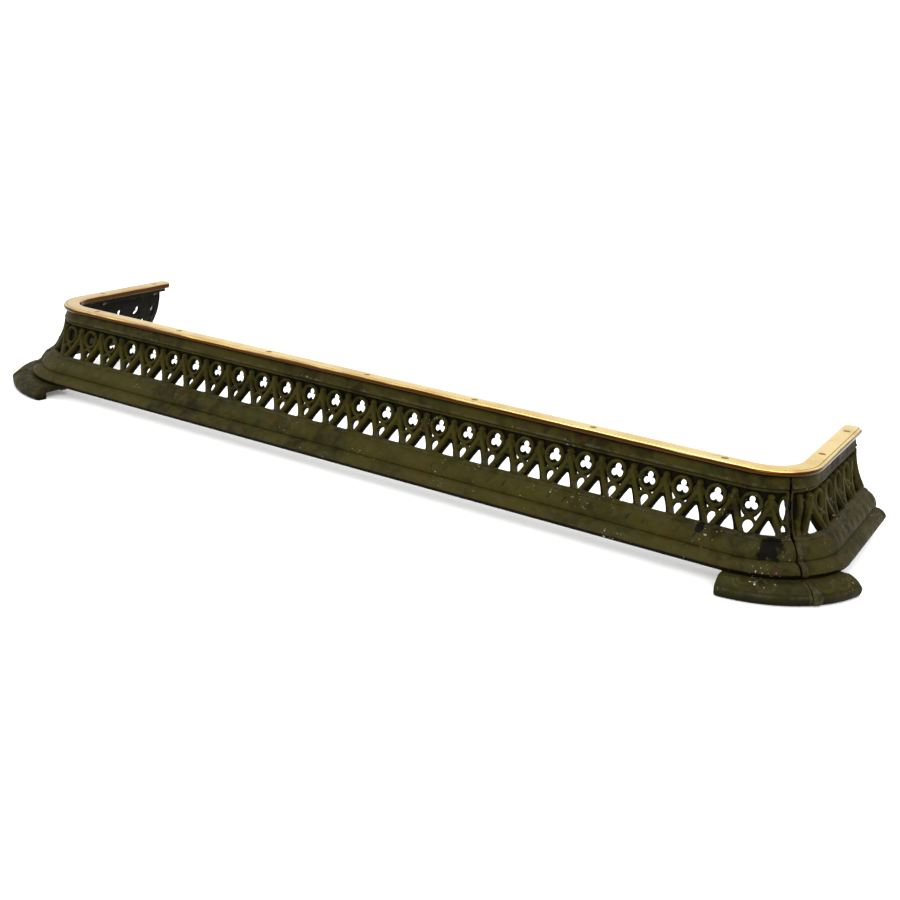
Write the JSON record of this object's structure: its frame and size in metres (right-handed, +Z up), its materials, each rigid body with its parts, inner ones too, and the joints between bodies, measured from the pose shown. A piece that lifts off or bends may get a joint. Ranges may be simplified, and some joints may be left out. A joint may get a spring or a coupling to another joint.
{
  "type": "hearth fender",
  "caption": "Low U-shaped cast-iron hearth fender with a pierced Gothic band, moulded base, corner feet and a brass top rail.",
  "frame": {"origin": "on the hearth, under the middle of the whole fender", "axes": "+X along the front, +Y towards the fireplace wall, +Z up"},
  "size_m": [1.5556, 0.3909, 0.15],
  "materials": {
    "painted_iron": "worn dark olive-brown paint over cast iron",
    "plain_iron": "dull oxidised iron",
    "brass": "polished brass with slight tarnish",
    "rail_fixings": "tarnished brass"
  },
  "bodies": {
    "root": {"front_casting": "painted_iron", "left_return_casting": "painted_iron", "right_return_casting": "painted_iron", "left_front_foot": "painted_iron", "left_return_foot": "painted_iron", "right_front_foot": "painted_iron", "right_return_foot": "painted_iron", "left_joint_cover": "painted_iron", "right_joint_cover": "painted_iron", "top_rail": "brass", "corner_bolts": "plain_iron", "corner_washers": "plain_iron", "corner_nuts": "plain_iron", "foot_bolts": "plain_iron", "foot_washers": "plain_iron", "foot_nuts": "plain_iron", "rail_screws": "rail_fixings", "rail_nuts": "plain_iron"}
  },
  "joints": []
}
